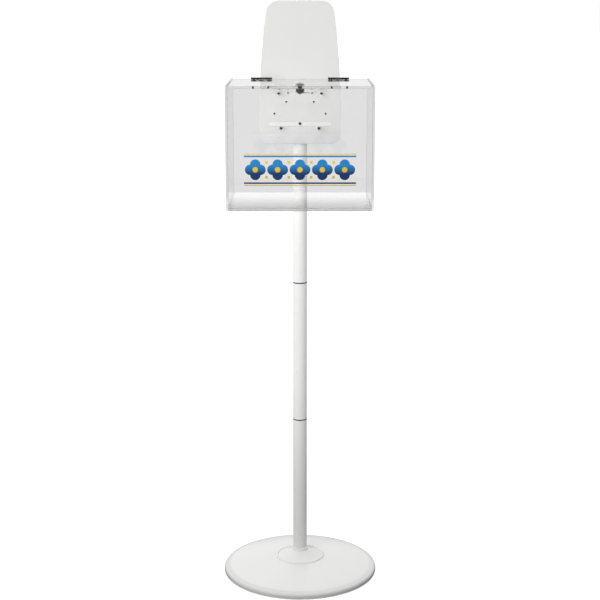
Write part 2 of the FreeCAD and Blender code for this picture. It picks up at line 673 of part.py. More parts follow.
def make_box():
    """Six acrylic sheets with the money slot, the lock's catch, and what holds the box to the plate."""
    sides = ("-inner_width / 2", "inner_width / 2")
    walls = rectangle(*sides, "box_bottom", "panel_top")
    front = padded("box_front", "XZ_Plane", walls, "wall", ("0", "box_front_face + wall", "0"))
    slot_low = "panel_top - slot_drop - slot_height / 2"
    slot_high = "panel_top - slot_drop + slot_height / 2"
    slot = rectangle("-slot_width / 2", "slot_width / 2", slot_low, slot_high)
    pocket(front, outline(front, "money_slot", "XZ_Plane", slot))
    keep("box_front", front)
    walls = rectangle(*sides, "box_bottom", "lid_underside")
    back = padded("box_back", "XZ_Plane", walls, "wall", ("0", "box_back_face", "0"))
    holes = [(x, height, "screw_hole") for name, x, height in mount_places()]
    drill(back, "back_holes", "XZ_Plane", holes)
    keep("box_back", back)
    corner = ("0 - inner_width / 2", "strip_front", "lid_underside")
    keep("box_top", block("top_strip", corner, ("inner_width", "strip_depth", "lid_thickness")))
    inside = "box_front_face + wall"
    for name, x in (("box_left", "0 - box_width / 2"), ("box_right", "box_width / 2 - wall")):
        size = ("wall", "box_depth", "panel_height + side_rise")
        keep(name, block(name, (x, "box_front_face", "box_bottom"), size))
    corner = ("0 - inner_width / 2", inside, "box_bottom")
    keep("box_bottom", block("box_floor", corner, ("inner_width", "inner_depth", "wall")))
    corner = ("0 - catch_length / 2", inside, "panel_top - catch_height")
    keep("lock_catch", block("lock_catch", corner, ("catch_length", "catch_depth", "catch_height")))
    spacers, washers, screws, nuts = [], [], [], []
    head_seat = "back_inside - mount_washer_height"
    length = f"nut_height + screw_spare - saddle_back - ({head_seat})"
    for name, x, height in mount_places():
        spacers.append(ring(name + "_spacer", (x, "box_back_face", height), "spacer_diameter", "screw_hole",
                            "spacer_length", "Y"))
        washers.append(ring(name + "_washer", (x, head_seat, height), "mount_washer", "screw_hole",
                            "mount_washer_height", "Y"))
        screws.append(screw(name + "_screw", (x, head_seat, height), length, *PLATE_SCREW))
        nuts.append(nut(name + "_nut", (x, "0 - saddle_back", height), *PLATE_NUT, "Y"))
    keep("mount_spacers", group("mount_spacers", spacers))
    keep("mount_washers", group("mount_washers", washers))
    keep("mount_screws", group("mount_screws", screws))
    keep("mount_nuts", group("mount_nuts", nuts))


def knuckle_start(middle, place):
    """Where one of the five knuckles of a hinge starts, the first being at its left end."""
    return f"{middle} - hinge_length / 2 + {place} * knuckle_pitch + knuckle_gap / 2"


def leaf(name, middle, plate_at, web_front, places, fit, screw_holes):
    """One leaf of a hinge: its plate, a web and a barrel for each knuckle, and the bore for the pin."""
    left = f"{middle} - hinge_length / 2"
    size = ("hinge_length", "leaf_run - leaf_start", "leaf_thickness")
    solids = [block(name + "_plate", (left, plate_at, "lid_top"), size)]
    for spot in places:
        start = knuckle_start(middle, spot)
        size = ("knuckle_length", "leaf_run / 2", "leaf_thickness")
        solids.append(block(f"{name}_web_{spot}", (start, web_front, "lid_top"), size))
        barrel = (start, "pin_depth", "pin_height")
        solids.append(rod(f"{name}_knuckle_{spot}", barrel, "knuckle_diameter", "knuckle_length", "X"))
    ends = (left, "pin_depth", "pin_height")
    bore = rod(name + "_bore", ends, f"pin_diameter + 2 * {fit}", "hinge_length", "X")
    keep(name, cut(name, fuse(name + "_blank", solids), [bore, *screw_holes]))


def make_hinges():
    """Two clear hinges over the gap: a leaf cemented on the strip, one screwed to the lid, and a dark pin."""
    screws, nuts = [], []
    length = "leaf_thickness + lid_thickness + hinge_nut_height + hinge_screw_spare"
    for name, x in hinge_screw_places():
        seat = (x, "hinge_screw_depth", "lid_top + leaf_thickness")
        screws.append(screw(name + "_screw", seat, length, *HINGE_SCREW, "Z"))
        below = (x, "hinge_screw_depth", "lid_underside - hinge_nut_height")
        nuts.append(nut(name + "_nut", below, *HINGE_NUT, "Z"))
    keep("hinge_screws", group("hinge_screws", screws))
    keep("hinge_nuts", group("hinge_nuts", nuts))
    for side, middle in hinges():
        name = side + "_hinge_back_leaf"
        leaf(name, middle, "pin_depth + leaf_start", "pin_depth", (0, 2, 4), "pin_fit", [])
        name = side + "_hinge_lid_leaf"
        holes = []
        for spot, x in hinge_screw_places():
            if spot.startswith(side):
                at = (x, "hinge_screw_depth", "lid_top")
                holes.append(rod(spot + "_leaf_hole", at, "hinge_screw_hole", "leaf_thickness"))
        web_front = "pin_depth - leaf_run / 2"
        leaf(name, middle, "pin_depth - leaf_run", web_front, (1, 3), "pin_running_fit", holes)
        half = "hinge_length / 2"
        pin = [
            ("0", f"0 - {half} - pin_head_length"),
            ("pin_head / 2", f"0 - {half} - pin_head_length"),
            ("pin_head / 2", f"0 - {half}"),
            ("pin_diameter / 2", f"0 - {half}"),
            ("pin_diameter / 2", half),
            ("pin_head / 2", half),
            ("pin_head / 2", f"{half} + pin_head_length"),
            ("0", f"{half} + pin_head_length"),
        ]
        name = side + "_hinge_pin"
        keep(name, turned(name, pin, (middle, "pin_depth", "pin_height"), "X"))


def make_lid():
    """The acrylic lid between the side walls, with its holes for the lock and the hinge screws."""
    half = "inner_width / 2 - lid_side_gap"
    corners = rectangle(f"-({half})", half, "box_front_face", "strip_front - lid_back_gap")
    lid = padded("lid", "XY_Plane", corners, "lid_thickness", ("0", "0", "lid_underside"))
    holes = [("0", "lock_axis", "lock_barrel + lock_hole_clearance")]
    holes += [(x, "hinge_screw_depth", "hinge_screw_hole") for name, x in hinge_screw_places()]
    drill(lid, "lid_holes", "XY_Plane", holes)
    keep("lid", lid)


def make_lock():
    """A cam lock: head and barrel, the nut under the lid, and the plug that turns the cam under the catch."""
    axis = ("0", "lock_axis")
    keep("lock_body", turned("lock_body", [
        ("plug_hole / 2", "barrel_end"),
        ("lock_barrel / 2", "barrel_end"),
        ("lock_barrel / 2", "lid_top"),
        ("lock_head / 2", "lid_top"),
        ("lock_head / 2", "lock_face - lock_head_bevel"),
        ("lock_head / 2 - lock_head_bevel", "lock_face"),
        ("plug_hole / 2", "lock_face"),
    ], (*axis, "0")))
    thread = "lock_barrel + 2 * thread_clearance"
    at = (*axis, "lid_underside - lock_nut_height")
    keep("lock_nut", nut("lock_nut", at, "lock_nut_width", "lock_nut_height", thread, "Z"))
    face = "lock_face - plug_recess"
    thread = "cam_screw_diameter + 2 * thread_clearance"
    blank = fuse("plug_blank", [
        rod("plug_round", (*axis, "barrel_end"), "plug_diameter", f"{face} - barrel_end"),
        block("plug_tang", ("0 - tang_width / 2", "lock_axis - tang_width / 2", "cam_under"),
              ("tang_width", "tang_width", "barrel_end - cam_under")),
    ])
    keep("lock_plug", cut("lock_plug", blank, [
        block("keyhole", ("0 - key_width / 2", "lock_axis - key_height / 2", f"{face} - key_depth"),
              ("key_width", "key_height", "key_depth")),
        rod("plug_thread", (*axis, "cam_under"), thread, "cam_screw_length"),
    ]))
    arm = fuse("cam_blank", [
        rod("cam_round", (*axis, "cam_under"), "cam_hub", "cam_thickness"),
        block("cam_arm", ("0", "lock_axis - cam_width / 2", "cam_under"),
              ("cam_reach - cam_width / 2", "cam_width", "cam_thickness")),
        rod("cam_tip", ("cam_reach - cam_width / 2", "lock_axis", "cam_under"), "cam_width", "cam_thickness"),
    ])
    square = "tang_width + 2 * tang_fit"
    keep("lock_cam", cut("lock_cam", arm, [
        block("cam_square", (f"0 - ({square}) / 2", f"lock_axis - ({square}) / 2", "cam_under"),
              (square, square, "cam_thickness")),
    ]))
    low = "cam_under - cam_screw_head_height"
    keep("cam_screw", fuse("cam_screw", [
        rod("cam_screw_top", (*axis, low), "cam_screw_head", "cam_screw_head_height"),
        rod("cam_screw_shank", (*axis, "cam_under"), "cam_screw_diameter", "cam_screw_length"),
    ]))


def check_and_write():
    """Stops at a failed feature or a broken shape, and otherwise writes one file for each sub-part."""
    doc.recompute()
    for item in doc.Objects:
        if "Invalid" in item.State or "Error" in item.State:
            raise RuntimeError(f"{item.Name} failed: {item.State}")
    for label, piece in nodes.items():
        if piece.Shape.isNull() or not piece.Shape.isValid() or not piece.Shape.Solids:
            raise RuntimeError(f"{label} has no sound shape")
    os.makedirs("parts", exist_ok=True)
    for label, piece in nodes.items():
        piece.Shape.exportStep(f"parts/{label}.step")
        print(label, len(piece.Shape.Solids), round(piece.Shape.Volume, 1))


make_base()
make_pole()
make_plate()
make_box()
make_hinges()
make_lid()
make_lock()
check_and_write()
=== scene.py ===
# %% [markdown]
# # A clear donation box on a white floor stand
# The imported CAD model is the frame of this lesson: it holds every piece at its real size and place, and it
# says which pieces move together. Pieces whose CAD mesh is already right keep it and only get a finish. The
# others are made again as surfaces worked out with numpy, because they need round edges, threads or a print.

# %% Load the frame
import math

import bpy
import numpy as np
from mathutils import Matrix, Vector
from mathutils.geometry import delaunay_2d_cdt


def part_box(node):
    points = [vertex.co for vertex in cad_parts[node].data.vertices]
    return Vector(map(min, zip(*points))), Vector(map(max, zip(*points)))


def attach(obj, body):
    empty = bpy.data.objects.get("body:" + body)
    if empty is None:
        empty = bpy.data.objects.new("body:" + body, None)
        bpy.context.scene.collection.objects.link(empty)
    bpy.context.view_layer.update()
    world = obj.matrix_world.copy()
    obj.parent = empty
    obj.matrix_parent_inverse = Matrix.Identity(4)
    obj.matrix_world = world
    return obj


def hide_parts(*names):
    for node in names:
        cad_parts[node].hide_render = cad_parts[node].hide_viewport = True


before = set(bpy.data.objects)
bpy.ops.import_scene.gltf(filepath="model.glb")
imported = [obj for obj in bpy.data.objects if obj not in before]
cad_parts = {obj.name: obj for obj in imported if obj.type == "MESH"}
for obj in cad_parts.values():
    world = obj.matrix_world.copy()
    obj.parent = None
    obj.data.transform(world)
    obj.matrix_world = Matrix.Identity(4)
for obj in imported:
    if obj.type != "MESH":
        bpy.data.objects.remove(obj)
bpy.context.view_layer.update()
MM = 0.001

# %% [markdown]
# ## Surfaces on a grid
# A mesh is a list of points and a list of faces. Here the points always come as a grid, so the faces need no
# thought: each quad joins a point to its neighbours in the next row and column. A row that comes back to its
# start, as around a screw, is closed by putting its first column after its last.


# %% Quads of a grid
def grid_quads(rows, columns, loop=False):
    """Quads between neighbouring points of a grid whose rows are closed rings. With loop the last row joins
    the first one too, as on a ring or a tube with a bore."""
    index = np.arange(rows * columns).reshape(rows, columns)
    index = np.column_stack([index, index[:, 0]])
    if loop:
        index = np.vstack([index, index[:1]])
    corners = [index[:-1, :-1], index[:-1, 1:], index[1:, 1:], index[1:, :-1]]
    return np.stack(corners, -1).reshape(-1, 4)


SHARP = math.radians(38)


def build(name, points, smooth, flat, finish, body, cad_nodes):
    """Makes an object at the origin from points and faces, gives it a finish, parents it to the body it rides
    on and hides the CAD nodes it stands for. Edges over SHARP stay sharp."""
    mesh = bpy.data.meshes.new(name)
    mesh.from_pydata(points, [], [*map(list, smooth), *map(list, flat)])
    mesh.set_sharp_from_angle(angle=SHARP)
    mesh.polygons.foreach_set("use_smooth", np.arange(len(mesh.polygons)) < len(smooth))
    mesh.materials.append(finish)
    made = bpy.data.objects.new(name, mesh)
    bpy.context.scene.collection.objects.link(made)
    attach(made, body)
    if cad_nodes:
        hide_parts(*cad_nodes)
    size = np.ptp(points, axis=0) / MM
    print(f"{name}: {len(mesh.polygons)} faces, {size[0]:.1f} x {size[1]:.1f} x {size[2]:.1f} mm")
    return made


print("edges over", round(math.degrees(SHARP)), "degrees stay sharp")

# %% [markdown]
# ## Sheets with soft edges
# Acrylic sheet is sawn, drilled and polished, which leaves a narrow round along every edge, and that round is
# what catches the light. A cube with a Bevel modifier would do for a plain sheet, but not for one with a slot
# or screw holes. So every outline is carried through the thickness by one edge profile, and a constrained
# triangulation fills the two faces between the outlines.

# %% The surface of a sheet
ROUND_STEPS = 5


def inward(loop):
    """At each corner, the step that moves both of its sides inwards by one: the sum of their two unit
    normals, divided by one plus the normals' dot product."""
    side = np.roll(loop, -1, axis=0) - loop
    normal = np.column_stack([-side[:, 1], side[:, 0]]) / np.linalg.norm(side, axis=1)[:, None]
    before = np.roll(normal, 1, axis=0)
    return (before + normal) / (1 + (before * normal).sum(1))[:, None]


def fill(loops):
    """Triangles between an outline and the holes in it, all counterclockwise. Those whose three corners
    belong to one hole would close it, and are left out."""
    counts = [len(loop) for loop in loops]
    starts = np.cumsum([0, *counts[:-1]])
    edges = [(start + i, start + (i + 1) % n) for start, n in zip(starts, counts) for i in range(n)]
    flat_points = np.vstack(loops)
    found = delaunay_2d_cdt([Vector(point / MM) for point in flat_points], edges, [], 1, 1e-6)
    triangles = np.array(found[2])
    owner = np.repeat(np.arange(len(loops)), counts)[triangles]
    closes = (owner[:, 0] > 0) & (owner == owner[:, :1]).all(1)
    return triangles[~closes]


def sheet_surface(outline, holes, thickness, rounding):
    """A flat sheet in u, v and depth. Its edge profile is a quarter turn, a straight wall and a quarter turn:
    at an angle a the edge lies rounding * (1 - sin a) inside the outline, rounding * (1 - cos a) deep."""
    quarter = np.linspace(0, np.pi / 2, ROUND_STEPS)
    inset = rounding * (1 - np.sin(quarter))
    depth = rounding * (1 - np.cos(quarter))
    inset = np.concatenate([inset, inset[::-1]])
    depth = np.concatenate([depth, thickness - depth[::-1]])
    loops = [outline, *(hole[::-1] for hole in holes)]
    points, quads, first, last = [], [], [], []
    start = 0
    for loop in loops:
        place = loop + inset[:, None, None] * inward(loop)
        level = np.broadcast_to(depth[:, None, None], (*place.shape[:2], 1))
        points.append(np.concatenate([place, level], -1).reshape(-1, 3))
        quads.append(start + grid_quads(len(depth), len(loop)))
        index = start + np.arange(len(depth) * len(loop)).reshape(len(depth), len(loop))
        first.append(index[0])
        last.append(index[-1])
        start += len(points[-1])
    triangles = fill([loop + rounding * inward(loop) for loop in loops])
    faces = np.vstack([np.concatenate(first)[triangles][:, ::-1], np.concatenate(last)[triangles]])
    return np.vstack(points), np.vstack(quads), faces


def rectangle(low, high):
    """Corners of a rectangle, counterclockwise."""
    return np.array([[low[0], low[1]], [high[0], low[1]], [high[0], high[1]], [low[0], high[1]]])


def circle(centre, diameter, count=40):
    """Points of a circle: the centre plus half the diameter times the cosine and sine of equal steps."""
    turn = np.linspace(0, 2 * np.pi, count, endpoint=False)
    return np.array(centre) + diameter / 2 * np.column_stack([np.cos(turn), np.sin(turn)])


def lay(points, across, start):
    """Takes a sheet's u, v and depth to x, y and z. Across X, u is y and v is z. Across Y, u is x and v is z,
    and the depth runs to the front. Across Z, u is x and v is y."""
    u, v, depth = points.T
    if across == "X":
        return np.column_stack([start + depth, u, v])
    if across == "Y":
        return np.column_stack([u, start - depth, v])
    return np.column_stack([u, v, start + depth])


print("each rounded edge has", ROUND_STEPS, "rows of points")

# %% [markdown]
# ## Turned pieces
# Screws, nuts, rings and the lock are turned on a lathe, so their surface is a radius for every height and
# every angle. A plain lathe shape has the same radius all round. A hexagon has a radius that swells towards
# its corners, and a thread has one that rises and falls along a helix, so one function serves them all.

# %% The surface of a turned piece
STEPS = 48
TURN = np.linspace(0, 2 * np.pi, STEPS, endpoint=False)


def hexagon(width):
    """Radius of a hexagon at each step of a turn: half its width over the cosine of the angle to the nearest
    flat."""
    return width / 2 / np.cos((TURN + np.pi / 6) % (np.pi / 3) - np.pi / 6)


def turned_surface(radii, heights, hollow=False):
    """Point i, j lies at radius radii[i, j] and height heights[i, j], at the j-th step of a turn. A hollow
    piece closes from its last row to its first, and a full one is closed by a face at each end."""
    radii = np.array([np.broadcast_to(radius, STEPS) for radius in radii])
    heights = np.array([np.broadcast_to(height, STEPS) for height in heights])
    points = np.stack([radii * np.cos(TURN), radii * np.sin(TURN), heights], -1).reshape(-1, 3)
    quads = grid_quads(len(radii), STEPS, hollow)
    index = np.arange(len(points)).reshape(radii.shape)
    ends = [] if hollow else [index[0][::-1], index[-1]]
    return points, quads, ends


AXES = {
    "X": np.array([[0, 1, 0], [0, 0, 1], [1, 0, 0]]),
    "Y": np.array([[1, 0, 0], [0, 0, -1], [0, 1, 0]]),
    "Z": np.eye(3),
    "-Z": np.diag([1, -1, -1]),
}


def gather(surface, places, along):
    """Copies of one surface, with its own Z axis turned along a main axis, at each of the places."""
    points, quads, ends = surface
    turned = points @ AXES[along]
    shifts = np.arange(len(places)) * len(points)
    all_points = (np.array(places)[:, None, :] + turned).reshape(-1, 3)
    all_quads = (shifts[:, None, None] + quads).reshape(-1, 4)
    all_ends = [shift + end for shift in shifts for end in ends]
    return all_points, all_quads, all_ends


ARC_STEPS = 5


def rounded(corners, radius):
    """A closed outline in radius and height with every corner replaced by a small arc: a quadratic curve from
    one side to the other, which starts and ends the given distance from the corner."""
    corners = np.array(corners, float)
    back = np.roll(corners, 1, axis=0) - corners
    ahead = np.roll(corners, -1, axis=0) - corners
    start = corners + radius * back / np.linalg.norm(back, axis=1)[:, None]
    stop = corners + radius * ahead / np.linalg.norm(ahead, axis=1)[:, None]
    share = np.linspace(0, 1, ARC_STEPS)[:, None]
    curve = start[:, None] * (1 - share) ** 2 + 2 * corners[:, None] * share * (1 - share)
    return (curve + stop[:, None] * share**2).reshape(-1, 2).T


print("turned pieces have", STEPS, "steps in a turn")

# %% [markdown]
# ## Shader tools
# Every finish is built from nodes that read Object coordinates, in metres, so a pattern keeps its real size
# on every piece. One short helper adds a node, sets its values and links its inputs, which keeps each finish
# below to a few readable lines.


# %% Helpers for nodes
WHITE = (1, 1, 1, 1)


def neutral(level):
    """A grey with no tint: the same level of red, green and blue."""
    return (level, level, level)


def node(tree, kind, inputs=None, **settings):
    """Adds a shader node. An input that is given a socket is linked to it, and any other one is set."""
    made = tree.nodes.new("ShaderNode" + kind)
    for name, value in settings.items():
        setattr(made, name, value)
    for name, value in (inputs or {}).items():
        if isinstance(value, bpy.types.NodeSocket):
            tree.links.new(value, made.inputs[name])
        else:
            made.inputs[name].default_value = value
    return made


def link(shader, **sources):
    """Links sockets to a shader's inputs, whose names are given with _ for a space."""
    for name, source in sources.items():
        shader.id_data.links.new(source, shader.inputs[name.replace("_", " ")])


def finish(name, colour, roughness, **values):
    """A new material with one Principled shader, with the values that are the same all over it."""
    made = bpy.data.materials.new(name)
    made.use_nodes = True
    shader = made.node_tree.nodes["Principled BSDF"]
    shader.inputs["Base Color"].default_value = (*colour, 1)
    shader.inputs["Roughness"].default_value = roughness
    for key, value in values.items():
        shader.inputs[key.replace("_", " ")].default_value = value
    return made, made.node_tree, shader


def group(name, inputs, outputs):
    """A node group with number inputs, given with their defaults, and outputs given with their kinds."""
    tree = bpy.data.node_groups.new(name, "ShaderNodeTree")
    for socket, value in inputs.items():
        made = tree.interface.new_socket(socket, in_out="INPUT", socket_type="NodeSocketFloat")
        made.default_value = value
    for socket, kind in outputs.items():
        tree.interface.new_socket(socket, in_out="OUTPUT", socket_type="NodeSocket" + kind)
    return tree, tree.nodes.new("NodeGroupInput"), tree.nodes.new("NodeGroupOutput")


print("finishes are made from", len(bpy.data.node_groups), "groups so far")

# %% [markdown]
# ## Two shared effects
# Nothing that people use is perfectly even. The first effect is the fine skin of a finish, such as the orange
# peel of powder coat or the grain of a moulding: a small noise for the height and a large one for the tone.
# The second is what hands and dusting leave: soft smears that dull a gloss here and there.


# %% Groups for skin and smears
def make_skin():
    """Fine grain as a height, and a slow drift of tone, both from noise in metres."""
    effects = {"Height": "Float", "Tone": "Float"}
    tree, start, stop = group("fine_skin", {"Grain": 600.0, "Drift": 7.0}, effects)
    place = node(tree, "TexCoord").outputs["Object"]
    grain = node(tree, "TexNoise", {"Vector": place, "Scale": start.outputs["Grain"], "Detail": 2.0})
    drift = node(tree, "TexNoise", {"Vector": place, "Scale": start.outputs["Drift"], "Detail": 3.0})
    tree.links.new(grain.outputs["Fac"], stop.inputs["Height"])
    tree.links.new(drift.outputs["Fac"], stop.inputs["Tone"])
    return tree


def make_smears():
    """Soft streaks that dull a gloss: noise, stretched upwards, with only its peaks kept."""
    tree, start, stop = group("smears", {"Size": 14.0, "Low": 0.0, "High": 0.1}, {"Roughness": "Float"})
    place = node(tree, "TexCoord").outputs["Object"]
    streak = node(tree, "Mapping", {"Vector": place, "Scale": (1.0, 1.0, 0.45), "Rotation": (0.3, 0.2, 0.0)})
    noise = node(tree, "TexNoise", {"Vector": streak.outputs["Vector"], "Scale": start.outputs["Size"],
                                    "Detail": 5.0, "Roughness": 0.6})
    peaks = node(tree, "MapRange", {"Value": noise.outputs["Fac"], "From Min": 0.5, "From Max": 0.75,
                                    "To Min": start.outputs["Low"], "To Max": start.outputs["High"]})
    tree.links.new(peaks.outputs["Result"], stop.inputs["Roughness"])
    return tree


SKIN = make_skin()
SMEARS = make_smears()


def use(tree, shared, **values):
    """Places a shared effect in a material with its own values."""
    made = tree.nodes.new("ShaderNodeGroup")
    made.node_tree = shared
    for name, value in values.items():
        made.inputs[name].default_value = value
    return made.outputs


print("shared effects:", SKIN.name, "and", SMEARS.name)

# %% [markdown]
# ## Measures and grades
# A finish often changes with a place or an angle: a floor darkens towards the front, a coat is greyer near a
# rim. Each change starts from a measure, such as a height or a distance, and a Map Range node takes the span
# of that measure to a span of grey or of light.


# %% Relief, tones, measures and grades
def relief(tree, height, distance):
    """A Bump node for a height, whose full range stands for the distance in metres."""
    return node(tree, "Bump", {"Height": height, "Distance": distance}).outputs["Normal"]


def tones(tree, value, dark, light):
    """A colour that runs from a dark tone to a light one while a value runs from 0.3 to 0.7."""
    ramp = node(tree, "ValToRGB", {"Fac": value})
    ramp.color_ramp.elements[0].position = 0.3
    ramp.color_ramp.elements[0].color = (*dark, 1)
    ramp.color_ramp.elements[1].position = 0.7
    ramp.color_ramp.elements[1].color = (*light, 1)
    return ramp.outputs["Color"]


def coordinate(tree, axis):
    """One of the Object coordinates, in metres."""
    return node(tree, "SeparateXYZ", {"Vector": node(tree, "TexCoord").outputs["Object"]}).outputs[axis]


def height_of(tree):
    """The height above the floor, in metres."""
    return coordinate(tree, "Z")


def reach_of(tree):
    """The distance from the middle of the foot of the stand, in metres."""
    place = node(tree, "TexCoord").outputs["Object"]
    return node(tree, "VectorMath", {0: place}, operation="LENGTH").outputs["Value"]


def span(start, stop, first=0.0, last=1.0):
    """A grade that takes a value from start to stop to one from first to last."""
    return {"From Min": start, "From Max": stop, "To Min": first, "To Max": last}


def graded(tree, value, grade):
    """A value taken through a grade. Past the ends of the grade it stays as it is there."""
    return node(tree, "MapRange", {"Value": value, **grade}).outputs["Result"]


def combine(tree, operation, first, second):
    """Two numbers joined by a Math node, as by MULTIPLY or MAXIMUM."""
    return node(tree, "Math", {0: first, 1: second}, operation=operation).outputs["Value"]


def mix(tree, share, first, second):
    """Two shaders mixed, with the share that the second one gets."""
    return node(tree, "MixShader", {0: share, 1: first, 2: second}).outputs["Shader"]


print("a grade with no change:", span(0, 1))

# %% [markdown]
# ## Clear acrylic
# Cast acrylic bends light a little less than glass, with an index of 1.49. A glass shader does most of the
# rest: edges gather light or go grey by themselves, and two sheets behind each other dim what is seen through
# them. Where a ray grazes a sheet, its colour is darkened, a painted shade. Cut edges are greyer than
# polished faces, and the edges of the floor get a darker copy still, a painted shade. The lid gets a lighter
# copy, painted light. The floor of the box is painted darker towards the front, a painted shade, and glows
# faintly at the back, a painted light. A bar that is cemented on hardly shows, so its index is lower. Few
# rays from lamps and walls would find their way through such shaders, so shadow and diffuse rays pass a
# Transparent one, a touch brighter than clear, which adds painted light behind the sheets.


# %% Clear finishes
ACRYLIC = 1.49
BONDED = 1.2
# Each sheet's colour is darkened where a ray grazes it, a painted shade.
GRAZING_SHADE = 0.90, 0.97
CLEAR = span(*GRAZING_SHADE, 0.925, 0.25)
CUT = span(*GRAZING_SHADE, 0.80, 0.25)
# The floor's edges get a darker copy of the clear grade, a painted shade.
PAINTED_EDGE_SHADE = span(*GRAZING_SHADE, 0.62, 0.25)
# The lid gets a lighter copy of the clear grade, painted light.
LIT_LID_CLEAR = span(*GRAZING_SHADE, 1.0, 0.25)
SMOKE = span(*GRAZING_SHADE, 0.55, 0.3)
THIN = span(*GRAZING_SHADE, 0.98, 0.8)
# The floor of the box is painted darker towards the front, a painted shade, and glows faintly at the back, a
# painted light.
SHADE = span(0.30, 0.80, 0.97)        # on the floor, where PAINTED_FLOOR_SHADE gives the last value
PAINTED_FLOOR_SHADE = span(-0.275, -0.11, 0.1, 0.98)        # along Y, in metres, as in PAINTED_FLOOR_GLOW
PAINTED_FLOOR_GLOW = span(-0.20, -0.05)
PAINTED_GLOW_STRENGTH = 0.08
# Light that passes a sheet comes out a touch brighter, painted light behind the sheets.
PAINTED_PASSING_LIGHT = (*neutral(1.05), 1)


def clear_finish(name, index, dullest, grade, fade=None):
    """A see-through plastic whose gloss is dulled here and there by smears. Its grey, a painted shade, is
    graded by how much a face is seen along its surface. With a fade, the end of that grade changes from front
    to back, a painted shade, and the plastic glows faintly at the back, a painted light. Shadow and diffuse
    rays pass a
    Transparent a touch brighter than clear, painted light."""
    made, tree, shader = finish(name, neutral(0.95), 0.0, IOR=index, Transmission_Weight=1.0)
    if fade:
        depth = coordinate(tree, "Y")
        grade = {**grade, "To Max": graded(tree, depth, fade)}
        shader.inputs["Emission Strength"].default_value = PAINTED_GLOW_STRENGTH
        link(shader, Emission_Color=graded(tree, depth, PAINTED_FLOOR_GLOW))
    grey = graded(tree, node(tree, "LayerWeight").outputs["Facing"], grade)
    gloss = use(tree, SMEARS, Size=16.0, High=dullest)
    link(shader, Base_Color=grey, Roughness=gloss["Roughness"])
    rays = node(tree, "LightPath").outputs
    # Shadow and diffuse rays pass a Transparent brighter than clear, painted light.
    soft = combine(tree, "MAXIMUM", rays["Is Shadow Ray"], rays["Is Diffuse Ray"])
    passing = node(tree, "BsdfTransparent", {"Color": PAINTED_PASSING_LIGHT}).outputs["BSDF"]
    link(tree.nodes["Material Output"], Surface=mix(tree, soft, shader.outputs["BSDF"], passing))
    return made


acrylic = clear_finish("polished_acrylic", ACRYLIC, 0.01, CLEAR)
cut_acrylic = clear_finish("cut_acrylic", ACRYLIC, 0.04, CUT)
shaded_edge_acrylic = clear_finish("shaded_edge_acrylic", ACRYLIC, 0.04, PAINTED_EDGE_SHADE)
lit_lid_acrylic = clear_finish("lit_lid_acrylic", ACRYLIC, 0.01, LIT_LID_CLEAR)
bonded_acrylic = clear_finish("bonded_acrylic", BONDED, 0.01, CLEAR)
floor_acrylic = clear_finish("shaded_acrylic", ACRYLIC, 0.01, SHADE, PAINTED_FLOOR_SHADE)
hinge_plastic = clear_finish("hinge_plastic", 1.50, 0.03, SMOKE)
nylon = clear_finish("clear_nylon", 1.05, 0.02, THIN)
print("clear finishes:", acrylic.name, cut_acrylic.name, floor_acrylic.name, hinge_plastic.name, nylon.name)

# %% [markdown]
# ## White powder coat
# The stand is steel with a baked powder coat. Powder flows out as it melts but never quite levels, which
# gives its fine orange peel. A plain white would look like paper, so the tone drifts a little, the gloss has
# smears and a Bump node gives the peel. The pole gets a lighter copy of the white, painted light, and is
# painted greyer towards its foot, a painted shade. The cover of the base is painted greyer along its
# turned-down rim, a painted shade.


# %% White finishes
def coat_finish(name, dark, light, gloss, grain, depth, measure=None, grade=None):
    """A coat with a slow drift of tone, smears on its gloss and a fine grain. With a measure, its colour is
    also multiplied by that measure's grade, a painted shade."""
    made, tree, shader = finish(name, light, gloss[0])
    skin = use(tree, SKIN, Grain=grain)
    colour = tones(tree, skin["Tone"], dark, light)
    if measure:
        share = graded(tree, measure(tree), grade)
        colour = node(tree, "VectorMath", {0: colour, 1: share}, operation="MULTIPLY").outputs["Vector"]
    link(
        shader,
        Base_Color=colour,
        Roughness=use(tree, SMEARS, Low=gloss[0], High=gloss[1])["Roughness"],
        Normal=relief(tree, skin["Height"], depth),
    )
    return made


PEEL = 520.0, 0.06 * MM
MOULD = 900.0, 0.04 * MM
POWDER = (0.775, 0.775, 0.765), (0.80, 0.80, 0.79), (0.30, 0.45), *PEEL
# The pole's copy of the white coat is lighter, painted light.
LIT_POWDER = (0.92, 0.92, 0.91), (0.95, 0.95, 0.94), (0.26, 0.40), *PEEL
# The pole is darker towards its foot, a painted shade.
PAINTED_FOOT_SHADE = span(0.0, 0.45, 0.70)        # by the height, in metres
# The cover is darker in a band along its rim, a painted shade.
PAINTED_RIM_SHADE = span(0.162, 0.168, 1.0, 0.87)        # by the distance from the pole's foot, in metres
powder_coat = coat_finish("powder_coat", *POWDER)
pole_coat = coat_finish("pole_coat", *LIT_POWDER, height_of, PAINTED_FOOT_SHADE)
cover_coat = coat_finish("cover_coat", *POWDER, reach_of, PAINTED_RIM_SHADE)
white_plastic = coat_finish("white_moulding", (0.72, 0.72, 0.71), (0.77, 0.77, 0.76), (0.42, 0.55), *MOULD)
print("white finishes:", powder_coat.name, pole_coat.name, cover_coat.name, white_plastic.name)

# %% [markdown]
# ## Metals, rubber and black plastic
# The small parts are what the eye uses to judge a clear box, because they are its only dark spots. Plated
# steel is a metal with a worn gloss, and black oxide is a dull black coat with hardly any shine. The lock's
# head is chromed, and the mat under the base is rubber. They share the same two effects with other values.


# %% Dark and metal finishes
def solid_finish(name, dark, light, gloss, grain, depth, metallic, index=1.5):
    """A metal or a dark plastic with a drift of tone, smears on its gloss and a fine grain. A low index of
    refraction leaves little shine on a black coat."""
    made = coat_finish(name, dark, light, gloss, grain, depth)
    shader = made.node_tree.nodes["Principled BSDF"]
    shader.inputs["Metallic"].default_value = metallic
    shader.inputs["IOR"].default_value = index
    return made


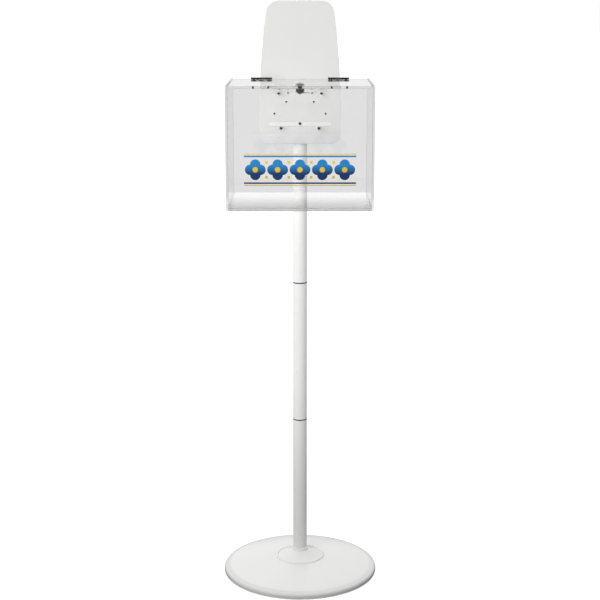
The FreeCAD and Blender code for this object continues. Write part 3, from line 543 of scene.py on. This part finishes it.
FINE = 1500.0, 0.02 * MM
POLISHED = 300.0, 0.002 * MM
PITTED = 700.0, 0.15 * MM
CAST = 380.0, 0.4 * MM
BLACK = neutral(0.003), neutral(0.01)
zinc = solid_finish("zinc_plate", (0.46, 0.47, 0.48), (0.62, 0.63, 0.64), (0.28, 0.45), *FINE, 1.0)
black_oxide = solid_finish("black_oxide", *BLACK, (0.5, 0.65), *FINE, 0, 1.2)
dark_steel = solid_finish("dark_pin", (0.01, 0.01, 0.011), (0.024, 0.024, 0.026), (0.12, 0.3), *FINE, 0.8)
cam_steel = solid_finish("cam_steel", (0.04, 0.04, 0.042), (0.07, 0.07, 0.072), (0.3, 0.45), *FINE, 0.5)
chrome = solid_finish("chrome", (0.48, 0.49, 0.50), (0.56, 0.57, 0.58), (0.04, 0.14), *POLISHED, 1.0)
black_plastic = solid_finish("black_moulding", *BLACK, (0.3, 0.45), *FINE, 0, 1.3)
rubber = solid_finish("rubber_mat", neutral(0.015), neutral(0.04), (0.75, 0.9), *PITTED, 0)
iron = solid_finish("cast_iron", (0.05, 0.05, 0.052), neutral(0.12), (0.55, 0.75), *CAST, 0.7)
print("finishes:", ", ".join(item.name for item in bpy.data.materials if item.users and item.use_nodes))

# %% [markdown]
# ## Finishes for the CAD pieces
# A CAD mesh already has its exact shape and its normals, so a piece that needs nothing more is only given a
# finish in its material slot. The list below names the pieces for each finish.

# %% Dress the CAD nodes
HINGE_LEAVES = [f"{side}_hinge_{part}_leaf" for side in ("left", "right") for part in ("back", "lid")]
POLES = ["lower_pole", "middle_pole", "upper_pole"]
DRESS = {
    powder_coat: ["base_collar", "foot_ring", "back_plate"],
    cover_coat: ["base_cover"],
    pole_coat: POLES,
    white_plastic: ["pole_cap", "plate_saddles"],
    hinge_plastic: HINGE_LEAVES,
    zinc: ["base_bolt", "base_washer", "pole_inserts", "pole_studs"],
    chrome: ["lock_plug"],
    cam_steel: ["lock_cam"],
    rubber: ["base_pad"],
    iron: ["base_weight"],
}
for coat, names in DRESS.items():
    for name in names:
        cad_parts[name].data.materials[0] = coat
print("CAD pieces with a new finish:", sum(map(len, DRESS.values())))

# %% [markdown]
# ## The box
# Six sheets are cemented into a box. The two side sheets run its whole depth, and the others are glued in
# between them: front, back, floor and a strip on top that carries the hinges. A short bar inside the front is
# the catch for the lock. Two clear faces in the very same place would confuse the renderer, so these pieces
# stop a bond line short of their neighbours. On the real box, cement fills that line.

# %% Walls and floor of the box
BOND = 0.08 * MM
EDGE = 0.35 * MM
SLOT_SIZE = np.array([124.0, 9.0]) * MM
SLOT_DROP = 69.8 * MM
MOUNT_HOLE = 4.5 * MM
SIDES = -1, 1


def corners(name):
    """Lowest and highest corner of a CAD node, as arrays."""
    low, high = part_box(name)
    return np.array(low), np.array(high)


def pairs(*places):
    """Places to the left and right of the middle, from half their distance and their height or depth in
    millimetres."""
    return [(side * x * MM, other * MM) for x, other in places for side in SIDES]


def pane(name, cad_node, across, holes=(), inset=(0, 0), skim=0, coats=(acrylic, cut_acrylic), body="stand"):
    """An acrylic sheet in the place of a CAD node. Its cemented sides are drawn in by the inset, and the skim
    is taken off the face on top, where a hinge lies. The coats are for its faces and for its edges."""
    low, high = corners(cad_node)
    axis = "XYZ".index(across)
    u, v = (i for i in range(3) if i != axis)
    outline = rectangle((low[u] + inset[0], low[v] + inset[1]), (high[u] - inset[0], high[v] - inset[1]))
    high[axis] -= skim
    points, quads, faces = sheet_surface(outline, holes, high[axis] - low[axis], EDGE)
    points = lay(points, across, high[axis] if across == "Y" else low[axis])
    made = build(name, points, quads, faces, coats[0], body, [cad_node])
    made.data.materials.append(coats[1])
    made.data.polygons.foreach_set("material_index", np.repeat([1, 0], [len(quads), len(faces)]))
    return made


wall_top = corners("box_front")[1][2]
slot_middle = np.array([0, wall_top - SLOT_DROP])
slot = rectangle(slot_middle - SLOT_SIZE / 2, slot_middle + SLOT_SIZE / 2)
mount_spots = pairs((46.2, 1116.0), (41.2, 1040.5))
screw_holes = [circle(spot, MOUNT_HOLE) for spot in mount_spots]
pane("left_pane", "box_left", "X")
pane("right_pane", "box_right", "X")
pane("front_pane", "box_front", "Y", [slot], inset=(BOND, 0))
pane("back_pane", "box_back", "Y", screw_holes, inset=(BOND, BOND))
pane("floor_pane", "box_bottom", "Z", inset=(BOND, BOND), coats=(floor_acrylic, shaded_edge_acrylic))
pane("strip_pane", "box_top", "Z", inset=(BOND, 0), skim=BOND)
pane("catch_bar", "lock_catch", "Z", inset=(BOND, BOND), coats=(bonded_acrylic, bonded_acrylic))

# %% [markdown]
# ## The lid
# The lid is one more sheet, with a round hole for the lock and tight ones for the hinge screws, whose threads
# bite into the plastic. Seen through the polished front edge, they are the dark spots under the hinges. The
# lid rides on the body that the hinge carries, so the same piece looks right in an open or a closed box.

# %% Lid
LOCK_HOLE = 13.8 * MM
HINGE_HOLE = 3.1 * MM
lock_low, lock_high = corners("lock_body")
lock_axis = (lock_low + lock_high)[:2] / 2
hinge_spots = pairs((66.5, -69.6), (98.5, -69.6))
lid_holes = [circle(lock_axis, LOCK_HOLE), *(circle(spot, HINGE_HOLE) for spot in hinge_spots)]
lid_coats = (lit_lid_acrylic, lit_lid_acrylic)
pane("lid_pane", "lid", "Z", lid_holes, skim=BOND, coats=lid_coats, body="lid_assembly")

# %% [markdown]
# ## Screws and nuts
# A button head screw has a low crown, a hexagon socket for the key and a thread. The crown runs from the
# hexagon of the socket to the round edge of the head, so its radius is a mix of the two. The thread is a
# radius that falls and rises along a helix. Nuts are hexagons whose corners lean in at both ends, and the
# clear washers and spacers of the box are short tubes.

# %% Surfaces of a screw and a nut
CROWN_ROWS = 7
THREAD_ROWS = 5
THREAD_DEPTH = 0.5
LIP = 1 / 6
NUT_FACE = 0.47
NUT_LEAD = 0.04
NUT_CONE = math.radians(30)


def screw_surface(length, diameter, head, head_height, socket, socket_depth, pitch):
    """A screw along its own Z axis, from the underside of its head. Its rows are the socket's floor, the
    crown on a quarter of an ellipse, the underside, and a thread whose radius follows a zigzag along a
    helix."""
    key = hexagon(socket)
    lip = head_height * LIP
    crown = np.linspace(0, np.pi / 2, CROWN_ROWS)
    rim = key + (head / 2 - key) * np.sin(crown)[:, None]
    top = -lip - (head_height - lip) * np.cos(crown)
    along = np.arange(pitch, length - pitch, pitch / THREAD_ROWS)
    zigzag = np.abs(2 * ((TURN / (2 * np.pi) - along[:, None] / pitch) % 1) - 1)
    thread = diameter / 2 - THREAD_DEPTH * pitch * zigzag
    core = diameter / 2 - THREAD_DEPTH * pitch
    radii = [key, *rim, head / 2, diameter / 2, diameter / 2, *thread, core, core - pitch / 4]
    heights = [socket_depth - head_height, *top, 0, 0, pitch / 2, *along, length - pitch / 4, length]
    return turned_surface(radii, heights)


def nut_surface(width, height, bore):
    """A hexagon nut along its own Z axis. A cone at each end takes off as much as the hexagon sticks out of a
    circle, times the cone's slope."""
    flats = hexagon(width)
    face = NUT_FACE * width
    slope = (flats - face) * math.tan(NUT_CONE)
    lead = NUT_LEAD * width
    radii = [bore / 2, bore / 2 + lead, face, flats, flats, face, bore / 2 + lead, bore / 2]
    heights = [lead, 0, 0, slope, height - slope, height, height, height - lead]
    return turned_surface(radii, heights, hollow=True)


def fasten(name, surface, places, along, coat, cad_node, body="stand"):
    """A group of equal turned pieces in the place of a CAD node."""
    points, quads, ends = gather(surface, places, along)
    return build(name, points, quads, ends, coat, body, [cad_node])


print("a thread has", THREAD_ROWS, "rows in each pitch")


# %% Screws through the plate and the box
def at_depth(spots, depth):
    """Places in a vertical plane at one depth."""
    return [(x, depth, z) for x, z in spots]


def in_metres(**sizes):
    """Sizes in metres, by name, from sizes in millimetres."""
    return {name: size * MM for name, size in sizes.items()}


def make_screws(name, cad_node, spots, sizes):
    """A group of screws along Y in the place of a CAD node, in black oxide."""
    low, high = corners(cad_node)
    head_height = sizes["head_height"]
    surface = screw_surface(high[1] - low[1] - head_height, **sizes)
    places = at_depth(spots, low[1] + head_height)
    return fasten(name, surface, places, "Y", black_oxide, cad_node)


M4 = in_metres(diameter=4.0, head=6.2, head_height=2.6, socket=2.5, socket_depth=1.5, pitch=0.7)
plate_spots = [(0, 1049.0 * MM), (0, 1116.0 * MM)]
make_screws("plate_bolts", "plate_screws", plate_spots, M4)
make_screws("box_bolts", "mount_screws", mount_spots, M4)

# %% Nuts behind the plate
NUT_PLAY = 0.1 * MM
NUT_BORE = M4["diameter"] + NUT_PLAY


def make_nuts(name, cad_node, spots):
    """A group of hexagon nuts along Y in the place of a CAD node, in zinc plate."""
    low, high = corners(cad_node)
    width = high[2] - low[2] - np.ptp(spots, axis=0)[1]
    surface = nut_surface(width, high[1] - low[1], NUT_BORE)
    return fasten(name, surface, at_depth(spots, low[1]), "Y", zinc, cad_node)


make_nuts("plate_lock_nuts", "plate_nuts", plate_spots)
make_nuts("box_lock_nuts", "mount_nuts", mount_spots)

# %% Clear washers and spacers of the box
TUBE_ROUND = 0.2 * MM


def make_tubes(name, cad_node):
    """A group of clear tubes along Y in the place of a CAD node, a bond line short of their neighbours."""
    low, high = corners(cad_node)
    length = high[1] - low[1] - 2 * BOND
    outer = (high[2] - low[2] - np.ptp(mount_spots, axis=0)[1]) / 2
    inner = MOUNT_HOLE / 2
    section = [(inner, 0), (outer, 0), (outer, length), (inner, length)]
    surface = turned_surface(*rounded(section, TUBE_ROUND), hollow=True)
    return fasten(name, surface, at_depth(mount_spots, low[1] + BOND), "Y", nylon, cad_node)


make_tubes("box_washers", "mount_washers")
make_tubes("box_spacers", "mount_spacers")

# %% Screws and nuts of the hinges
HINGE_SCREW = in_metres(diameter=4.0, head=7.6, head_height=2.2, socket=2.5, socket_depth=1.2, pitch=0.7)
HINGE_NUT = 7.0 * MM
low, high = corners("hinge_screws")
seat = high[2] - HINGE_SCREW["head_height"]
surface = screw_surface(seat - low[2], **HINGE_SCREW)
places = [(*spot, seat) for spot in hinge_spots]
fasten("hinge_bolts", surface, places, "-Z", black_oxide, "hinge_screws", "lid_assembly")
low, high = corners("hinge_nuts")
surface = nut_surface(HINGE_NUT, high[2] - low[2], NUT_BORE)
places = [(*spot, low[2]) for spot in hinge_spots]
fasten("hinge_lock_nuts", surface, places, "Z", zinc, "hinge_nuts", "lid_assembly")

# %% [markdown]
# ## Rings, pins and inserts
# Every corner of a moulded or turned piece has a small round that catches the light. The outline is given by
# its corners alone, and each corner is then replaced by an arc before the outline is turned. The inserts in
# the plate are painted over with it, and their bores get a near-black steel, a painted shade for the dark
# inside of a deep hole.

# %% Rings on the pole
RING_BORE = 12.6 * MM
SOFT = 0.6 * MM


def turned_solid(section, radius):
    """A full turned piece from the corners of its outline, foot first. The outline is closed along the axis
    while its corners are rounded, and the two arcs on the axis are then left out."""
    closed = [(0, section[0][1]), *section, (0, section[-1][1])]
    radii, heights = rounded(closed, radius)[:, ARC_STEPS:-ARC_STEPS]
    return turned_surface(radii, heights)


for level in ("lower", "upper"):
    ring = level + "_joint_ring"
    low, high = corners(ring)
    height = high[2] - low[2]
    section = [(RING_BORE / 2, 0), (high[0], 0), (high[0], height), (RING_BORE / 2, height)]
    surface = turned_surface(*rounded(section, SOFT), hollow=True)
    fasten(level + "_ring", surface, [(0, 0, low[2])], "Z", black_plastic, ring)

# %% Pins of the hinges
PIN = 3.0 * MM
PIN_HEAD_LENGTH = 1.5 * MM
PIN_ROUND = 0.3 * MM
for side in ("left", "right"):
    low, high = corners(side + "_hinge_pin")
    middle = (low + high) / 2
    length = high[0] - low[0]
    head = (high[2] - low[2]) / 2
    neck = length - PIN_HEAD_LENGTH
    section = [(head, 0), (head, PIN_HEAD_LENGTH), (PIN / 2, PIN_HEAD_LENGTH)]
    section += [(PIN / 2, neck), (head, neck), (head, length)]
    place = [(low[0], middle[1], middle[2])]
    surface = turned_solid(section, PIN_ROUND)
    fasten(side + "_pin", surface, place, "X", dark_steel, side + "_hinge_pin")

# %% Spare inserts in the plate
INSERT_BORE = 4.2 * MM
INSERT_BORE_DEPTH = 9.0 * MM
INSERT_BODY = 6.0 * MM
INSERT_FLANGE = 7.6 * MM
INSERT_STEP = 0.8 * MM
INSERT_ROUND = 0.2 * MM
BORE_ROWS = ARC_STEPS + 2        # the round at the end of a bore, its wall and part of the round in front
spare_spots = pairs((26.0, 1116.0), (30.0, 1096.5), (55.75, 1071.0))
low, high = corners("plate_inserts")
rim = INSERT_FLANGE / 2
section = [(INSERT_BORE / 2, INSERT_BORE_DEPTH), (INSERT_BORE / 2, 0), (rim, 0), (rim, INSERT_STEP)]
section += [(INSERT_BODY / 2, INSERT_STEP), (INSERT_BODY / 2, high[1] - low[1])]
surface = turned_solid(section, INSERT_ROUND)
places = at_depth(spare_spots, low[1])
inserts = fasten("thread_inserts", surface, places, "Y", powder_coat, "plate_inserts")
# The bores get the near-black dark_pin steel, a painted shade for the inside of a deep hole.
inserts.data.materials.append(dark_steel)
rows = np.arange(len(surface[1]) // STEPS) < BORE_ROWS
shaded_bores = np.concatenate([np.tile(np.repeat(rows, STEPS), len(places)), np.tile([1, 0], len(places))])
inserts.data.polygons.foreach_set("material_index", shaded_bores.astype(int))

# %% [markdown]
# ## The lock
# A cam lock goes through the lid: a chromed head on top, a black barrel and a nut below. The head and the
# barrel are one casting, so they are one turned piece here too, with two finishes chosen by the height of
# each face. The nut and the screw under the cam come from the functions above.

# %% Lock
BARREL = 13.4 * MM
PLUG_HOLE = 9.1 * MM
BEVEL = 1.2 * MM
LOCK_ROUND = 0.4 * MM
lid_top = corners("lid")[1][2]
head = (lock_high[0] - lock_low[0]) / 2
section = [
    (PLUG_HOLE / 2, lock_low[2]),
    (BARREL / 2, lock_low[2]),
    (BARREL / 2, lid_top),
    (head, lid_top),
    (head, lock_high[2] - BEVEL),
    (head - BEVEL, lock_high[2]),
    (PLUG_HOLE / 2, lock_high[2]),
]
surface = turned_surface(*rounded(section, LOCK_ROUND), hollow=True)
lock = fasten("lock_case", surface, [(*lock_axis, 0)], "Z", chrome, "lock_body", "lid_assembly")
lock.data.materials.append(black_plastic)
middles = np.empty(3 * len(lock.data.polygons))
lock.data.polygons.foreach_get("center", middles)
lock.data.polygons.foreach_set("material_index", (middles[2::3] < lid_top).astype(int))

# %% Nut of the lock and screw of the cam
CAM_SCREW = in_metres(diameter=3.5, head=8.0, head_height=2.0, socket=2.5, socket_depth=1.2, pitch=0.6)
CAM_SCREW_LENGTH = 8.0 * MM
low, high = corners("lock_nut")
surface = nut_surface(high[1] - low[1], high[2] - low[2], BARREL + NUT_PLAY)
place = [(*lock_axis, low[2])]
fasten("lid_nut", surface, place, "Z", black_plastic, "lock_nut", "lid_assembly")
surface = screw_surface(CAM_SCREW_LENGTH, **CAM_SCREW)
place = [(*lock_axis, corners("lock_cam")[0][2])]
fasten("cam_bolt", surface, place, "Z", black_plastic, "cam_screw", "lock_cylinder")

# %% [markdown]
# ## A band of ornament
# The front carries a band cut from thin film. A row of quatrefoils is an old ornament of stone tracery and
# suits a hall or a church. Four equal circles make one: along a ray, the outline is the far side of the
# nearest circle, which a cosine gives. The film is a sheet like the others, only much thinner.

# %% Film finishes
BAND_HEIGHT = 980.0 * MM
LOBE = 10.5 * MM


def film_finish(name, low, high):
    """Printed film whose colour runs from one height to another, with a faint grain in the ink."""
    made, tree, shader = finish(name, high, 0.3)
    ends = span(BAND_HEIGHT - 2 * LOBE, BAND_HEIGHT + 2 * LOBE)
    link(
        shader,
        Base_Color=tones(tree, graded(tree, height_of(tree), ends), low, high),
        Roughness=use(tree, SMEARS, Low=0.28, High=0.42)["Roughness"],
        Normal=relief(tree, use(tree, SKIN, Grain=2500.0)["Height"], 0.01 * MM),
    )
    return made


blue_film = film_finish("blue_film", (0.008, 0.030, 0.115), (0.02, 0.22, 0.52))
gold_film = film_finish("gold_film", (0.62, 0.42, 0.035), (0.78, 0.57, 0.05))
print("film finishes:", blue_film.name, "and", gold_film.name)

# %% Cut the film
FILM = 0.15 * MM
FILM_GAP = 0.02 * MM
FOIL_STEP = 45.0 * MM
CENTRE = 11 * MM
STUD = 6 * MM
STUD_RISE = 15 * MM
RULE_HALF = 113 * MM
BLUE_RULE = 27 * MM, 3.2 * MM        # distance from the middle of the band, thickness
GOLD_RULE = 31.5 * MM, 1.8 * MM
FRONT = corners("box_front")[0][1] - FILM_GAP


def quatrefoil(centre, lobe, count=96):
    """Outline of four circles round a centre. On a ray at an angle a to the nearest circle's middle, which is
    as far out as the circle's radius r, the outline is 2 r cos a away."""
    turn = np.linspace(0, 2 * np.pi, count, endpoint=False)
    off = (turn + np.pi / 4) % (np.pi / 2) - np.pi / 4
    reach = 2 * lobe * np.cos(off)
    return np.array(centre) + reach[:, None] * np.column_stack([np.cos(turn), np.sin(turn)])


def film(name, outlines, coat, layer=0):
    """Several flat shapes cut from one film, on the front of the box or on the film below."""
    points, quads, faces = [], [], []
    start = 0
    for outline in outlines:
        part = sheet_surface(outline, [], FILM, FILM / 4)
        points.append(lay(part[0], "Y", FRONT - layer * (FILM + FILM_GAP)))
        quads.append(start + part[1])
        faces.append(start + part[2])
        start += len(part[0])
    return build(name, np.vstack(points), np.vstack(quads), np.vstack(faces), coat, "stand", [])


def rules(rise, thickness):
    """Two straight lines across the band, as far below its middle as above it."""
    heights = [BAND_HEIGHT + side * rise for side in SIDES]
    return [rectangle((-RULE_HALF, z - thickness / 2), (RULE_HALF, z + thickness / 2)) for z in heights]


steps = np.arange(-2, 3) * FOIL_STEP
gaps = (steps[:-1] + steps[1:]) / 2
film("blue_quatrefoils", [quatrefoil((x, BAND_HEIGHT), LOBE) for x in steps], blue_film)
film("gold_centres", [circle((x, BAND_HEIGHT), CENTRE) for x in steps], gold_film, 1)
studs = [circle((x, BAND_HEIGHT + side * STUD_RISE), STUD, 24) for x in gaps for side in SIDES]
film("gold_studs", studs, gold_film)
film("blue_rules", rules(*BLUE_RULE), blue_film)
film("gold_rules", rules(*GOLD_RULE), gold_film)

# %% [markdown]
# ## Floor, light and camera
# The stand is shown on white, as in a catalogue. The camera sees a pale floor, lit so well that it runs into
# the white behind it. To other rays the floor is dim near the base, which keeps some shade under round
# pieces, and bright where it is seen through the acrylic. The world is a soft studio all round, a little
# darker on the camera's side. A tall soft box to the left in front gives the upper half its brightness. Light
# runs a long way inside clear sheets, so rays may bounce more often than usual.

# %% Floor
FLOOR = 40.0
PAPER = span(-0.6, 2.5, 0.28, 0.90)
NEAR = span(0.3, 1.6, 0.1, 1.0)
THROUGH = 0.85        # strength of the floor as seen through clear sheets
sheet = bpy.data.meshes.new("floor")
square = [(-FLOOR, -FLOOR, 0), (FLOOR, -FLOOR, 0), (FLOOR, FLOOR, 0), (-FLOOR, FLOOR, 0)]
sheet.from_pydata(square, [], [[0, 1, 2, 3]])
floor = bpy.data.objects.new("floor", sheet)
bpy.context.scene.collection.objects.link(floor)
pale, tree, shader = finish("pale_floor", neutral(0.85), 0.8, Emission_Strength=0.5)
shader.inputs["Emission Color"].default_value = WHITE
link(shader, Normal=relief(tree, use(tree, SKIN, Grain=300.0)["Height"], 0.02 * MM))
rays = node(tree, "LightPath").outputs
paper = graded(tree, coordinate(tree, "Y"), PAPER)
dim = combine(tree, "MULTIPLY", paper, graded(tree, reach_of(tree), NEAR))
bright = combine(tree, "MULTIPLY", rays["Is Transmission Ray"], THROUGH)
strength = combine(tree, "MAXIMUM", dim, bright)
glow = node(tree, "Emission", {"Color": WHITE, "Strength": strength}).outputs["Emission"]
both = mix(tree, rays["Is Camera Ray"], glow, shader.outputs["BSDF"])
link(tree.nodes["Material Output"], Surface=both)
sheet.materials.append(pale)
print("floor of", 2 * FLOOR, "m")

# %% Studio light
AHEAD = span(-0.7, 0.7, 0.35, 1.0)
ABOVE = span(0.05, 0.2, 0.95, 1.2)
scene = bpy.context.scene
scene.view_settings.view_transform = "Standard"
scene.cycles.max_bounces = 24
scene.cycles.glossy_bounces = 8
scene.world = bpy.data.worlds.new("studio")
scene.world.use_nodes = True
tree = scene.world.node_tree
way = node(tree, "SeparateXYZ", {"Vector": node(tree, "TexCoord").outputs["Generated"]}).outputs
strength = combine(tree, "MULTIPLY", graded(tree, way["Y"], AHEAD), graded(tree, way["Z"], ABOVE))
around = node(tree, "Background", {"Color": WHITE, "Strength": strength}).outputs["Background"]
behind = node(tree, "Background", {"Color": WHITE, "Strength": 1.0}).outputs["Background"]
both = mix(tree, node(tree, "LightPath").outputs["Is Camera Ray"], around, behind)
link(tree.nodes["World Output"], Surface=both)


def soft_box(name, place, target, size, power, spread):
    """A soft box that faces a target, with a grid that keeps its light within an angle. Mirrors and clear
    sheets don't show it."""
    light = bpy.data.lights.new(name, "AREA")
    light.shape = "RECTANGLE"
    light.size, light.size_y = size
    light.energy = power
    light.spread = math.radians(spread)
    made = bpy.data.objects.new(name, light)
    made.location = place
    made.visible_glossy = False
    made.visible_transmission = False
    made.rotation_euler = (Vector(target) - Vector(place)).to_track_quat("-Z", "Y").to_euler()
    scene.collection.objects.link(made)
    return made


soft_box("front_box", (-0.95, -2.0, 1.5), target=(0, 0, 1.05), size=(1.2, 2.0), power=11.8, spread=90.0)
print("lamps:", [item.name for item in bpy.data.lights])

# %% Camera
LENS = 82.35
EYE = (0, -3.0342, 1.3251)
TILT = 0.21922
view = bpy.data.objects.new("camera", bpy.data.cameras.new("camera"))
view.data.lens = LENS
view.location = EYE
view.rotation_euler = (math.pi / 2 - TILT, 0, 0)
scene.collection.objects.link(view)
scene.camera = view
print("camera", round(-view.location.y, 2), "m in front of the pole")
